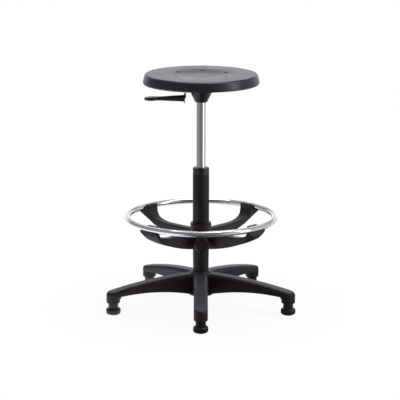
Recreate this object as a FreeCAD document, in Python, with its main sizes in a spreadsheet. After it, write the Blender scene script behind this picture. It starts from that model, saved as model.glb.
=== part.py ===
import FreeCAD, Part
import math
import os
import re
from collections import namedtuple

import Sketcher
from FreeCAD import Placement, Rotation, Vector

# Driving sizes of the stool, in millimetres and degrees, kept in a spreadsheet.
# Heights are above the floor, with the seat and the foot ring where the photograph has them.
SIZES = {
    # Seat
    "seat_height": 726,
    "seat_diameter": 353.5,
    "rim_height": 30,
    "rim_lean": 6,
    "rim_top_round": 11,
    "rim_bottom_round": 5,
    "dish_radius": 107,
    "dish_slope": 57,
    "dish_depth": 6,
    "dish_round": 260,
    "vent_circle_radius": 84.5,
    "vent_radius": 5.5,
    "vent_count": 6,
    "vent_turn": 27,
    "board_radius": 142,
    "board_thickness": 10,
    "board_recess": 2,
    # Seat plate and its fixings
    "plate_side": 190,
    "plate_corner": 22,
    "plate_thickness": 3,
    "plate_lip": 5,
    "bolt_spacing": 150,
    "bolt_radius": 4,
    "bolt_count": 4,
    "bolt_grip": 9,
    "head_flats": 13,
    "head_height": 5.3,
    "washer_radius": 8,
    "washer_thickness": 1.6,
    "tee_flange_radius": 9.5,
    "tee_flange_thickness": 1.4,
    "tee_barrel_radius": 5,
    "tee_barrel_length": 7,
    # Cone under the seat
    "cone_height": 55,
    "cone_top_radius": 44.8,
    "cone_bottom_radius": 18.6,
    "cone_bottom_round": 3,
    "cone_wall": 4,
    "socket_length": 28,
    "socket_slope": 0.0125,
    "socket_floor": 2,
    # Height lever
    "pin_radius": 2.5,
    "pin_offset": 24,
    "pin_length": 62,
    "eye_radius": 4.5,
    "eye_bite": 0.5,
    "strip_thickness": 3,
    "strip_width": 12,
    "strip_reach": 10,
    "strip_bend": 2,
    "crank_offset": 49,
    "crank_drop": 26.5,
    "strip_end": 108,
    "slot_width": 18,
    "slot_height": 10,
    "flange_thickness": 3,
    "flange_radius": 15,
    "grip_width": 19,
    "grip_height": 20.5,
    "neck_offset": 125,
    "neck_width": 18,
    "neck_height": 11.5,
    "paddle_offset": 151,
    "paddle_width": 36,
    "paddle_height": 10.5,
    "tip_offset": 171,
    "tip_width": 19,
    "tip_height": 6,
    "paddle_fall": 1.3,
    "handle_round": 0.46,
    # Gas lift
    "column_height": 439,
    "bush_head_height": 18.5,
    "bush_head_round": 3,
    "bush_length": 75,
    "tube_radius": 25,
    "tube_wall": 2,
    "tube_bottom": 47,
    "taper_start": 205,
    "taper_slope": 0.0131,
    "floor_thickness": 3,
    "stem_radius": 4,
    "stem_length": 5,
    "clip_thickness": 1,
    "clip_radius": 8,
    "clip_groove": 0.8,
    "bearing_radius": 14,
    "bearing_washer": 1.5,
    "ball_radius": 1.9,
    "ball_count": 8,
    "ball_circle_radius": 9.5,
    "cage_width": 3,
    "cage_thickness": 1.6,
    "bump_radius": 13,
    "bump_height": 12,
    "rod_radius": 5,
    "chrome_radius": 14,
    "chrome_wall": 2,
    "travel_down": 195,
    "travel_up": 65,
    "stop_spare": 8,
    "rod_guide_inset": 3,
    "rod_guide_length": 23,
    "piston_length": 18,
    "piston_spare": 12,
    "valve_length": 40,
    "valve_pin_radius": 3,
    "valve_pin_length": 30,
    "valve_pin_rise": 8,
    # Foot ring and its spider, measured from the middle of the ring's tube
    "ring_height": 284.2,
    "ring_radius": 224,
    "ring_tube_radius": 9,
    "ring_tube_wall": 1.5,
    "ring_turn": 2.2,
    "arm_count": 4,
    "arm_start_angle": 45,
    "hub_wall": 3.94,
    "hub_drop": 94,
    "hub_top_drop": 18,
    "hub_top_round": 4,
    "liner_wall": 3,
    "liner_lip": 3,
    "liner_lip_height": 1.5,
    "liner_slit": 3,
    "bowl_drop": 40.6,
    "bowl_curve": 185,
    "rise_angle": 19,
    "rise_curve": 27,
    "lip_inset": 19,
    "lip_rise": 8,
    "lip_round": 3,
    "saddle_overlap": 7,
    "saddle_cut": 5,
    "arm_end_reach": 8.5,
    "arm_end_drop": 18,
    "keel_end_reach": 3,
    "keel_end_drop": 29.5,
    "keel_curve": 560,
    "arm_half_width": 12.5,
    "flare_inset": 73,
    "flare_half_width": 33.5,
    "flare_curve": 156,
    "corner_start_inset": 35,
    "corner_start_side": 16.5,
    "corner_start_drop": 47.5,
    "corner_end_inset": -3,
    "corner_end_side": 31.8,
    "corner_end_drop": 15.3,
    "corner_low_inset": -1,
    "corner_low_side": 10,
    "corner_low_drop": 30,
    "wall_start_inset": 19,
    "wall_start_side": 17.5,
    "wall_start_drop": -8,
    "wall_end_inset": 7,
    "wall_end_side": 17.5,
    "wall_end_drop": -8,
    "wall_low_inset": 13,
    "wall_low_side": 33,
    "wall_low_drop": 5,
    "arm_wall": 3.5,
    "arm_skin": 4.5,
    "arm_edge_round": 4,
    "arm_rib": 2.5,
    "cell_start_gap": 12,
    "cell_end_inset": 43,
    "cell_count": 3,
    "screw_inset": 1,
    "screw_radius": 2,
    "screw_bite": 3,
    "screw_head_radius": 4,
    "screw_head_height": 2.6,
    "screw_seat_drop": 17,
    # Clamp that holds the spider
    "clamp_drop": 70,
    "boss_radius": 13,
    "boss_stand": 10,
    "nut_radius": 7,
    "shoe_room": 6.5,
    "stud_radius": 4,
    "shoe_radius": 6,
    "shoe_thickness": 3,
    "knob_radius": 23.5,
    "knob_neck_radius": 10,
    "knob_neck_length": 5,
    "knob_length": 27,
    "knob_round": 5,
    "knob_gap": 1.5,
    "knob_flute_radius": 7,
    "knob_flute_depth": 1.2,
    "knob_flute_count": 10,
    "stud_depth": 16,
    # Five-arm base and glides
    "foot_circle_radius": 279.5,
    "leg_count": 5,
    "base_turn": -90,
    "leg_width": 42,
    "leg_wall": 4,
    "leg_skin": 5,
    "leg_edge_round": 10,
    "leg_hub_height": 111,
    "leg_tip_height": 68,
    "leg_top_curve": 1380,
    "leg_start_inset": 9,
    "leg_foot_height": 38,
    "leg_foot_round": 9,
    "leg_arch_end_height": 57.5,
    "leg_arch_start_height": 47.5,
    "leg_arch_curve": 627,
    "leg_channel_gap": 12,
    "leg_channel_inset": 31.5,
    "leg_rib": 3,
    "leg_rib_count": 3,
    "leg_rib_depth": 12,
    "base_hub_wall": 13,
    "base_hub_crown": 3.5,
    "base_hub_top": 114.5,
    "base_hub_bottom": 41,
    "base_hub_round": 3,
    "glide_radius": 22.5,
    "glide_height": 20,
    "glide_bottom_round": 7,
    "glide_top_round": 6,
    "glide_neck_radius": 15.2,
    "glide_collar": 1.2,
    "glide_collar_height": 4,
    "glide_pad_radius": 15,
    "glide_pad_thickness": 3,
    "glide_pad_stand": 1,
    "glide_stem_radius": 5.5,
    "glide_stem_length": 40,
    "glide_stem_foot": 22,
    # Clearances
    "press_gap": 0.05,
    "run_gap": 0.06,
    "free_gap": 0.3,
}

# Places that follow from the driving sizes.
DERIVED = {
    "seat_radius": "seat_diameter / 2",
    "rim_bottom": "seat_height - rim_height",
    "board_bottom": "rim_bottom + board_recess",
    "board_top": "board_bottom + board_thickness",
    "plate_bottom": "board_bottom - plate_thickness",
    "bolt_place": "bolt_spacing / 2",
    "head_top": "plate_bottom - washer_thickness",
    "head_corner": "head_flats / sqrt(3)",
    "cone_bottom": "plate_bottom - cone_height",
    "cone_slope": "(cone_top_radius - cone_bottom_radius) / cone_height",
    "chrome_top": "cone_bottom + socket_length",
    "chrome_top_radius": "chrome_radius - socket_length * socket_slope",
    "cavity_floor": "chrome_top + socket_floor",
    "cavity_floor_radius": "cone_bottom_radius + (cavity_floor - cone_bottom) * cone_slope - cone_wall",
    "cavity_top_radius": "cone_top_radius - cone_wall",
    "valve_pin_top": "chrome_top + valve_pin_rise",
    "strip_bottom": "valve_pin_top + free_gap",
    "strip_top": "strip_bottom + strip_thickness",
    "pin_height": "strip_top + eye_radius - eye_bite",
    "lower_run_bottom": "strip_bottom - crank_drop",
    "lower_run_top": "lower_run_bottom + strip_thickness",
    "grip_middle": "lower_run_bottom + strip_thickness / 2",
    "crank_inside": "crank_offset - strip_thickness",
    "flange_face": "crank_offset + press_gap",
    "grip_start": "flange_face + flange_thickness",
    "tube_top": "column_height - bush_head_height",
    "tube_bottom_radius": "tube_radius - (taper_start - tube_bottom) * taper_slope",
    "column_floor_top": "tube_bottom + floor_thickness",
    "balls_bottom": "column_floor_top + bearing_washer",
    "ball_space": "2 * ball_radius + 4 * press_gap",
    "balls_top": "balls_bottom + ball_space",
    "shoulder": "balls_top + bearing_washer",
    "bump_top": "shoulder + bump_height",
    "clip_top": "tube_bottom - 4 * press_gap",
    "chrome_bore": "chrome_radius - chrome_wall",
    "chrome_bottom": "bump_top + travel_down + stop_spare",
    "rod_guide_bottom": "chrome_bottom + rod_guide_inset",
    "rod_guide_top": "rod_guide_bottom + rod_guide_length",
    "piston_bottom": "rod_guide_top + travel_up + piston_spare",
    "piston_top": "piston_bottom + piston_length",
    "liner_radius": "tube_radius + liner_wall",
    "hub_bore": "liner_radius + run_gap",
    "hub_radius": "hub_bore + hub_wall",
    "boss_reach": "hub_radius + boss_stand",
    "nut_inner_face": "liner_radius + shoe_room",
    "lip_offset": "ring_radius - lip_inset",
    "rise_offset": "lip_offset - rise_curve * (1 - sin(rise_angle))",
    "rise_drop": "bowl_drop - bowl_curve * (1 - cos(rise_angle))",
    "lip_drop": "rise_drop - rise_curve * cos(rise_angle)",
    "bowl_offset": "rise_offset - bowl_curve * sin(rise_angle)",
    "arm_end_radius": "ring_radius + arm_end_reach",
    "keel_end_offset": "ring_radius + keel_end_reach",
    "flare_offset": "ring_radius - flare_inset",
    "cell_start": "hub_radius + cell_start_gap",
    "cell_end": "ring_radius - cell_end_inset",
    "screw_circle_radius": "ring_radius - screw_inset",
    "ring_seat_radius": "ring_tube_radius + press_gap",
    "screw_head_bottom": "screw_seat_drop + screw_head_height",
    "shoe_face": "liner_radius + free_gap",
    "shoe_back": "shoe_face + shoe_thickness",
    "knob_back": "boss_reach + knob_gap",
    "base_hub_radius": "tube_radius + base_hub_wall",
    "leg_start": "base_hub_radius - leg_start_inset",
    "leg_arch_start": "base_hub_radius - leg_start_inset / 4",
    "leg_channel_start": "base_hub_radius + leg_channel_gap",
    "leg_channel_end": "foot_circle_radius - leg_channel_inset",
    "leg_end": "foot_circle_radius + leg_width / 2 + leg_wall",
    "leg_drop": "(leg_hub_height - leg_tip_height) / (leg_end - leg_start)",
    "leg_foot_inside": "foot_circle_radius - leg_width / 2",
    "flare_end": "sqrt(arm_end_radius ^ 2 - flare_half_width ^ 2)",
}

doc = FreeCAD.newDocument("high_stool")
sheet = doc.addObject("Spreadsheet::Sheet", "Sizes")
for row, (alias, number) in enumerate(SIZES.items(), start=1):
    sheet.set(f"A{row}", alias)
    sheet.set(f"B{row}", str(number))
    sheet.setAlias(f"B{row}", alias)
doc.recompute()

parts = []


# Expressions in the words of the tables above

def formula(text):
    """Spell an expression in sheet cells, with each derived place written out."""
    def spell(match):
        word = match.group()
        if word in DERIVED:
            return f"({formula(DERIVED[word])})"
        return f"Sizes.{word}" if word in SIZES else word
    return re.sub(r"[a-z_]+", spell, str(text))


def value(text):
    """The number that an expression gives now."""
    return float(sheet.evalExpression(formula(text)))


# Sketches

# One corner of an outline. Round is the radius that softens it; bend is the radius of the arc that
# runs from it to the next corner in place of a line, positive where the arc bulges to the right.
Corner = namedtuple("Corner", "x y round bend", defaults=(None, None))


def origin_feature(body, role):
    return next(item for item in body.Origin.OriginFeatures if item.Role == role)


def sketch_on(body, name, plane, turn="0", lift="0"):
    """An empty sketch on one of the body's own planes, turned about Z and moved along its normal."""
    sketch = body.newObject("Sketcher::SketchObject", f"{body.Label}_{name}")
    sketch.AttachmentSupport = (origin_feature(body, plane), [""])
    sketch.MapMode = "FlatFace"
    upright = Vector(0, 0, 1) if plane == "XY_Plane" else Vector(0, 1, 0)
    sketch.AttachmentOffset = Placement(Vector(0, 0, value(lift)), Rotation(upright, value(turn)))
    sketch.setExpression("AttachmentOffset.Base.z", formula(lift))
    return sketch


def hold(sketch, kind, geometry, text):
    """Bind one length of a piece of geometry, such as its radius, to an expression."""
    index = sketch.addConstraint(Sketcher.Constraint(kind, geometry, value(text)))
    sketch.setExpression(f"Constraints[{index}]", formula(text))


def hold_point(sketch, geometry, end, x, y):
    """Bind a point's distances from the sketch's origin to expressions."""
    for kind, text in (("DistanceX", x), ("DistanceY", y)):
        index = sketch.addConstraint(Sketcher.Constraint(kind, -1, 1, geometry, end, value(text)))
        sketch.setExpression(f"Constraints[{index}]", formula(text))


def add_circle(sketch, x, y, radius):
    centre = Vector(value(x), value(y), 0)
    circle = sketch.addGeometry(Part.Circle(centre, Vector(0, 0, 1), value(radius)), False)
    hold_point(sketch, circle, 3, x, y)
    hold(sketch, "Radius", circle, radius)


def arc_through(start, end, radius):
    """The arc from start to end that bulges to the right of its way, or to the left if negative."""
    chord = end - start
    right = Vector(chord.y, -chord.x, 0).normalize()
    rise = abs(radius) - math.sqrt(max(0, radius ** 2 - chord.Length ** 2 / 4))
    return Part.Arc(start, (start + end) * 0.5 + right * math.copysign(rise, radius), end)


def add_loop(sketch, corners):
    """A closed outline; every corner, round and bend is bound to its expressions."""
    count = len(corners)
    spots = [Vector(value(corner.x), value(corner.y), 0) for corner in corners]
    leave = list(spots)
    reach = [spots[(i + 1) % count] for i in range(count)]
    for i, corner in enumerate(corners):
        if corner.round:
            back = (spots[i - 1] - spots[i]).normalize()
            onward = (spots[(i + 1) % count] - spots[i]).normalize()
            setback = value(corner.round) / math.tan(back.getAngle(onward) / 2)
            reach[i - 1] = spots[i] + back * setback
            leave[i] = spots[i] + onward * setback
    # Sketch arcs always run anticlockwise, so a clockwise one has its first point at its end.
    edges = []
    for i, corner in enumerate(corners):
        radius = value(corner.bend) if corner.bend else 0
        straight = Part.LineSegment(leave[i], reach[i])
        shape = arc_through(leave[i], reach[i], radius) if radius else straight
        first, last = (2, 1) if radius < 0 else (1, 2)
        edges.append((sketch.addGeometry(shape, False), first, last))
        if radius:
            hold(sketch, "Radius", edges[-1][0], f"abs({corner.bend})")
    for i, corner in enumerate(corners):
        (before, _, before_last), (after, after_first, _) = edges[i - 1], edges[i]
        if not corner.round:
            meeting = Sketcher.Constraint("Coincident", before, before_last, after, after_first)
            sketch.addConstraint(meeting)
            hold_point(sketch, after, after_first, corner.x, corner.y)
            continue
        tip = sketch.addGeometry(Part.Point(spots[i]), True)
        hold_point(sketch, tip, 1, corner.x, corner.y)
        for edge in (before, after):
            sketch.addConstraint(Sketcher.Constraint("PointOnObject", tip, 1, edge))
        left_turn = (spots[i] - spots[i - 1]).cross(spots[(i + 1) % count] - spots[i]).z > 0
        radius = value(corner.round)
        bulge = radius if left_turn else -radius
        arc = sketch.addGeometry(arc_through(reach[i - 1], leave[i], bulge), False)
        first, last = (1, 2) if left_turn else (2, 1)
        sketch.addConstraint(Sketcher.Constraint("Tangent", before, before_last, arc, first))
        sketch.addConstraint(Sketcher.Constraint("Tangent", arc, last, after, after_first))
        hold(sketch, "Radius", arc, corner.round)


def box_loop(sketch, x_low, x_high, y_low, y_high):
    corners = ((x_low, y_low), (x_high, y_low), (x_high, y_high), (x_low, y_high))
    add_loop(sketch, [Corner(x, y) for x, y in corners])


# Features

def new_body(label):
    """A sub-part; its label names its file."""
    body = doc.addObject("PartDesign::Body", label)
    body.Label = label
    parts.append(body)
    return body


def extrude(body, sketch, length, cut=False, both_ways=False, reverse=False):
    """A pad or, as a cut, a pocket; both ways shares the length between the sketch's two sides."""
    kind = "PartDesign::Pocket" if cut else "PartDesign::Pad"
    feature = body.newObject(kind, f"{sketch.Label}_{'pocket' if cut else 'pad'}")
    feature.Profile = sketch
    feature.setExpression("Length", formula(length))
    if both_ways:
        feature.SideType = "Symmetric"
    feature.Reversed = reverse
    return feature


def revolve(body, sketch, cut=False):
    """A full turn about the sketch's upright axis, added or cut away."""
    kind = "PartDesign::Groove" if cut else "PartDesign::Revolution"
    feature = body.newObject(kind, f"{sketch.Label}_turn")
    feature.Profile = sketch
    feature.ReferenceAxis = (sketch, ["V_Axis"])
    feature.Angle = 360
    return feature


def repeat_round(body, count, originals=None):
    """Copies about the body's Z axis, of some features or of all that the body has so far."""
    doc.recompute()
    pattern = body.newObject("PartDesign::PolarPattern", f"{body.Label}_repeat")
    pattern.Axis = (origin_feature(body, "Z_Axis"), [""])
    pattern.Angle = 360
    pattern.setExpression("Occurrences", formula(count))
    if originals:
        pattern.Originals = originals
    else:
        pattern.TransformMode = "Whole shape"
    body.Tip = pattern
    return pattern


def soften(body, feature, radius, chosen):
    """A fillet on the feature's edges that pass a test."""
    doc.recompute()
    names = [f"Edge{i}" for i, edge in enumerate(feature.Shape.Edges, start=1) if chosen(edge)]
    fillet = body.newObject("PartDesign::Fillet", f"{body.Label}_fillet")
    fillet.Base = (feature, names)
    fillet.setExpression("Radius", formula(radius))
    return fillet


def turned(label, corners):
    """A sub-part that is one full turn of an outline of (radius, height) corners."""
    body = new_body(label)
    sketch = sketch_on(body, "profile", "XZ_Plane")
    add_loop(sketch, corners)
    revolve(body, sketch)
    return body


def sleeve(label, bore, radius, bottom, top):
    """A plain turned ring; a bore of 0 makes it a disc."""
    corners = ((bore, bottom), (radius, bottom), (radius, top), (bore, top))
    return turned(label, [Corner(x, y) for x, y in corners])


def place(body, x="0", y="0", z="0", rotation=Rotation()):
    """Put a sub-part at expressions for its place."""
    body.Placement = Placement(Vector(value(x), value(y), value(z)), rotation)
    for axis, text in (("x", x), ("y", y), ("z", z)):
        body.setExpression(f"Placement.Base.{axis}", formula(text))


# Five-arm base

def leg_top(radius):
    """Height of the arched top of a leg at a distance from the column's axis."""
    along, left = f"({radius} - leg_start)", f"(leg_end - ({radius}))"
    return f"leg_hub_height - {along} * leg_drop + {along} * {left} / (2 * leg_top_curve)"


def make_star_base():
    base = new_body("star_base")
    side = sketch_on(base, "leg_side", "XZ_Plane")
    add_loop(side, [
        Corner("leg_start", "leg_arch_start_height"),
        Corner("leg_arch_start", "leg_arch_start_height", bend="-leg_arch_curve"),
        Corner("leg_foot_inside", "leg_arch_end_height"),
        Corner("foot_circle_radius", "leg_arch_end_height"),
        Corner("foot_circle_radius", "leg_hub_height"),
        Corner("leg_start", "leg_hub_height"),
    ])
    extrude(base, side, "leg_width", both_ways=True)
    socket = sketch_on(base, "socket", "XY_Plane", lift="leg_foot_height")
    add_circle(socket, "foot_circle_radius", "0", "leg_width / 2")
    extrude(base, socket, "leg_hub_height - leg_foot_height")
    web = sketch_on(base, "foot_web", "XZ_Plane")
    add_loop(web, [
        Corner("leg_foot_inside", "leg_arch_end_height - leg_foot_round"),
        Corner("leg_foot_inside + leg_wall", "leg_arch_end_height - leg_foot_round"),
        Corner("leg_foot_inside + leg_wall", "leg_arch_end_height + leg_wall"),
        Corner("leg_foot_inside - leg_foot_round", "leg_arch_end_height + leg_wall"),
        Corner("leg_foot_inside - leg_foot_round", "leg_arch_end_height + 1",
               bend="-leg_foot_round * 1.1"),
    ])
    extrude(base, web, "leg_width / 2", both_ways=True)
    above = sketch_on(base, "above", "XZ_Plane")
    add_loop(above, [
        Corner("leg_start", "leg_hub_height", bend="-leg_top_curve"),
        Corner("leg_end", "leg_tip_height"),
        Corner("leg_end", "2 * leg_hub_height"),
        Corner("leg_start", "2 * leg_hub_height"),
    ])
    arched = extrude(base, above, "2 * leg_width", cut=True, both_ways=True)

    def on_top_edge(edge):
        ends = [vertex.Point for vertex in edge.Vertexes]
        lengthwise = edge.CenterOfMass.x > value("leg_start") + 1
        return lengthwise and all(abs(end.z - value(leg_top(end.x))) < 1 for end in ends)

    soften(base, arched, "leg_edge_round", on_top_edge)
    near, far = "leg_channel_start", "leg_channel_end"
    near_top, far_top = (f"{leg_top(end)} - leg_skin" for end in (near, far))
    channel = sketch_on(base, "channel", "XZ_Plane")
    add_loop(channel, [
        Corner(near, "0"),
        Corner(far, "0"),
        Corner(far, far_top, bend="leg_top_curve"),
        Corner(near, near_top),
    ])
    extrude(base, channel, "leg_width - 2 * leg_wall", cut=True, both_ways=True)
    spine = sketch_on(base, "spine", "XZ_Plane")
    add_loop(spine, [
        Corner(f"{near} - 1", f"{near_top} - leg_rib_depth", bend="-leg_top_curve"),
        Corner(f"{far} + 1", f"{far_top} - leg_rib_depth"),
        Corner(f"{far} + 1", f"{far_top} + 1", bend="leg_top_curve"),
        Corner(f"{near} - 1", f"{near_top} + 1"),
    ])
    extrude(base, spine, "leg_rib", both_ways=True)
    ribs = sketch_on(base, "ribs", "XZ_Plane")
    for rib in range(1, SIZES["leg_rib_count"] + 1):
        middle = f"({near} + ({far} - {near}) * {rib} / (leg_rib_count + 1))"
        rib_top = f"{leg_top(middle)} - leg_skin"
        box_loop(ribs, f"{middle} - leg_rib / 2", f"{middle} + leg_rib / 2",
                 f"{rib_top} - leg_rib_depth", f"{rib_top} + 1")
    extrude(base, ribs, "leg_width - 2 * leg_wall", both_ways=True)
    stem_hole = sketch_on(base, "stem_hole", "XY_Plane")
    add_circle(stem_hole, "foot_circle_radius", "0", "glide_stem_radius + press_gap")
    extrude(base, stem_hole, "glide_stem_foot + glide_stem_length + 1", cut=True, reverse=True)
    repeat_round(base, "leg_count")
    hub = sketch_on(base, "hub", "XZ_Plane")
    add_loop(hub, [
        Corner("tube_bottom_radius - tube_wall", "base_hub_bottom"),
        Corner("base_hub_radius", "base_hub_bottom", round="base_hub_round"),
        Corner("base_hub_radius", "leg_hub_height - base_hub_round", round="base_hub_round"),
        Corner("tube_radius + base_hub_crown", "base_hub_top"),
        Corner("tube_bottom_radius - tube_wall", "base_hub_top"),
    ])
    revolve(base, hub)
    bore = sketch_on(base, "bore", "XZ_Plane")
    bore_ends = ("base_hub_bottom - 1", "base_hub_top + 1")
    add_loop(bore, [
        Corner("0", bore_ends[0]),
        Corner(f"tube_radius - (taper_start - ({bore_ends[0]})) * taper_slope + press_gap", bore_ends[0]),
        Corner(f"tube_radius - (taper_start - ({bore_ends[1]})) * taper_slope + press_gap", bore_ends[1]),
        Corner("0", bore_ends[1]),
    ])
    revolve(base, bore, cut=True)
    place(base, rotation=Rotation(Vector(0, 0, 1), value("base_turn")))


def make_glides():
    """A glide, its steel stem and its pad under each leg."""
    stem_bore = "glide_stem_radius + press_gap"
    pad_bore = "glide_pad_radius + press_gap"
    for leg in range(SIZES["leg_count"]):
        glide = turned(f"glide_{leg + 1}", [
            Corner("0", "glide_pad_thickness"),
            Corner(pad_bore, "glide_pad_thickness"),
            Corner(pad_bore, "glide_pad_stand"),
            Corner("glide_radius", "glide_pad_stand",
                   round="min(glide_bottom_round; glide_radius - glide_pad_radius - 0.4)"),
            Corner("glide_radius", "glide_height",
                   round="min(glide_top_round; glide_radius - glide_neck_radius - 0.4)"),
            Corner("glide_neck_radius", "glide_height"),
            Corner("glide_neck_radius", "leg_foot_height - glide_collar_height"),
            Corner("glide_neck_radius + glide_collar", "leg_foot_height - glide_collar_height"),
            Corner("glide_neck_radius + glide_collar", "leg_foot_height"),
            Corner(stem_bore, "leg_foot_height"),
            Corner(stem_bore, "glide_stem_foot"),
            Corner("0", "glide_stem_foot"),
        ])
        stem = sleeve(f"glide_stem_{leg + 1}", "0", "glide_stem_radius",
                      "glide_stem_foot", "glide_stem_foot + glide_stem_length")
        pad = sleeve(f"glide_pad_{leg + 1}", "0", "glide_pad_radius", "0", "glide_pad_thickness")
        angle = f"(base_turn + {leg} * 360 / leg_count)"
        for piece in (glide, stem, pad):
            place(piece, f"foot_circle_radius * cos({angle})", f"foot_circle_radius * sin({angle})")


# Gas lift

def make_column():
    turned("column_tube", [
        Corner("tube_radius - tube_wall", "tube_top"),
        Corner("tube_radius - tube_wall", "taper_start"),
        Corner("tube_bottom_radius - tube_wall", "tube_bottom"),
        Corner("tube_bottom_radius", "tube_bottom"),
        Corner("tube_radius", "taper_start"),
        Corner("tube_radius", "tube_top"),
    ])
    bush_radius = "tube_radius - tube_wall - press_gap"
    turned("guide_bush", [
        Corner("chrome_radius + run_gap", "tube_top - bush_length"),
        Corner(bush_radius, "tube_top - bush_length"),
        Corner(bush_radius, "tube_top"),
        Corner("tube_radius", "tube_top"),
        Corner("tube_radius", "column_height", round="bush_head_round"),
        Corner("chrome_radius + run_gap", "column_height"),
    ])
    stem_bore = "stem_radius + run_gap"
    sleeve("column_floor", stem_bore, "tube_bottom_radius - tube_wall - press_gap",
           "tube_bottom", "column_floor_top")
    sleeve("bearing_washer_lower", stem_bore, "bearing_radius", "column_floor_top", "balls_bottom")
    sleeve("bearing_washer_upper", "stem_radius + press_gap", "bearing_radius", "balls_top", "shoulder")


def make_bearing_balls():
    cage = new_body("ball_cage")
    middle = "(balls_bottom + ball_space / 2)"
    ring = sketch_on(cage, "ring", "XZ_Plane")
    box_loop(ring, "ball_circle_radius - cage_width", "ball_circle_radius + cage_width",
             f"{middle} - cage_thickness / 2", f"{middle} + cage_thickness / 2")
    revolve(cage, ring)
    pocket = sketch_on(cage, "pocket", "XY_Plane", lift="shoulder")
    add_circle(pocket, "ball_circle_radius", "0", "ball_radius + press_gap")
    hole = extrude(cage, pocket, "shoulder - tube_bottom", cut=True)
    repeat_round(cage, "ball_count", [hole])
    balls = []
    for number in range(SIZES["ball_count"]):
        ball = doc.addObject("Part::Sphere", f"ball_{number + 1}")
        ball.setExpression("Radius", formula("ball_radius"))
        angle = f"({number} * 360 / ball_count)"
        place(ball, f"ball_circle_radius * cos({angle})", f"ball_circle_radius * sin({angle})", middle)
        balls.append(ball)
    group = doc.addObject("Part::Compound", "bearing_balls")
    group.Links = balls
    parts.append(group)


def make_spindle():
    """The piston rod, which turns in the foot of the column, and what is fixed to it."""
    groove_bottom, groove_top = "clip_top - clip_thickness - press_gap", "clip_top + press_gap"
    turned("piston_rod", [
        Corner("0", "tube_bottom - stem_length"),
        Corner("stem_radius", "tube_bottom - stem_length"),
        Corner("stem_radius", groove_bottom),
        Corner("stem_radius - clip_groove", groove_bottom),
        Corner("stem_radius - clip_groove", groove_top),
        Corner("stem_radius", groove_top),
        Corner("stem_radius", "shoulder"),
        Corner("rod_radius", "shoulder"),
        Corner("rod_radius", "piston_top"),
        Corner("0", "piston_top"),
    ])
    clip = new_body("rod_clip")
    ring = sketch_on(clip, "ring", "XY_Plane", lift="clip_top - clip_thickness")
    add_circle(ring, "0", "0", "clip_radius")
    add_circle(ring, "0", "0", "stem_radius - clip_groove + press_gap")
    extrude(clip, ring, "clip_thickness")
    mouth = sketch_on(clip, "mouth", "XY_Plane", lift="tube_bottom")
    mouth_half = "stem_radius - clip_groove - press_gap"
    box_loop(mouth, "0", "2 * clip_radius", f"-({mouth_half})", mouth_half)
    extrude(clip, mouth, "stem_length", cut=True)
    sleeve("bump_stop", "rod_radius + free_gap", "bump_radius", "shoulder", "bump_top")
    sleeve("piston", "rod_radius + press_gap", "chrome_bore - run_gap", "piston_bottom", "piston_top")


def make_pressure_tube():
    """The chromed tube, which the seat sits on, with its rod guide, valve and valve pin."""
    turned("pressure_tube", [
        Corner("chrome_bore", "chrome_bottom"),
        Corner("chrome_radius", "chrome_bottom"),
        Corner("chrome_radius", "cone_bottom"),
        Corner("chrome_top_radius", "chrome_top"),
        Corner("chrome_bore - socket_length * socket_slope", "chrome_top"),
        Corner("chrome_bore - socket_length * socket_slope", "cone_bottom"),
        Corner("chrome_bore", "cone_bottom - chrome_wall"),
    ])
    sleeve("rod_guide", "rod_radius + run_gap", "chrome_bore - press_gap",
           "rod_guide_bottom", "rod_guide_top")
    valve_radius = "chrome_bore - socket_length * socket_slope - press_gap"
    sleeve("valve_body", "valve_pin_radius + run_gap", valve_radius,
           "chrome_top - valve_length", "chrome_top")
    sleeve("valve_pin", "0", "valve_pin_radius", "valve_pin_top - valve_pin_length", "valve_pin_top")


# Seat and the height lever under it

def make_support_cone():
    cone = turned("support_cone", [
        Corner("chrome_radius + press_gap", "cone_bottom"),
        Corner("cone_bottom_radius", "cone_bottom", round="cone_bottom_round"),
        Corner("cone_top_radius", "plate_bottom"),
        Corner("cavity_top_radius", "plate_bottom"),
        Corner("cavity_floor_radius", "cavity_floor"),
        Corner("chrome_top_radius + press_gap", "cavity_floor"),
        Corner("chrome_top_radius + press_gap", "chrome_top"),
    ])
    slot = sketch_on(cone, "lever_slot", "YZ_Plane", lift="-pin_offset")
    box_loop(slot, "-slot_width / 2", "slot_width / 2", "strip_bottom - strip_thickness / 2",
             "strip_bottom - strip_thickness / 2 + slot_height")
    extrude(cone, slot, "cone_top_radius", cut=True)
    pin_hole = sketch_on(cone, "pin_hole", "XZ_Plane")
    add_circle(pin_hole, "-pin_offset", "pin_height", "pin_radius + press_gap")
    extrude(cone, pin_hole, "2 * cone_top_radius", cut=True, both_ways=True)
    pin = new_body("lever_pin")
    section = sketch_on(pin, "section", "XZ_Plane")
    add_circle(section, "-pin_offset", "pin_height", "pin_radius")
    extrude(pin, section, "pin_length", both_ways=True)


def between(near, far, way, share=None):
    """A station part of the way from one to another; share sets its size where that isn't its way."""
    shares = [way] + [share or way] * 2 + [way]
    return [f"{start} + ({end} - ({start})) * {part}" for start, end, part in zip(near, far, shares)]


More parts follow.
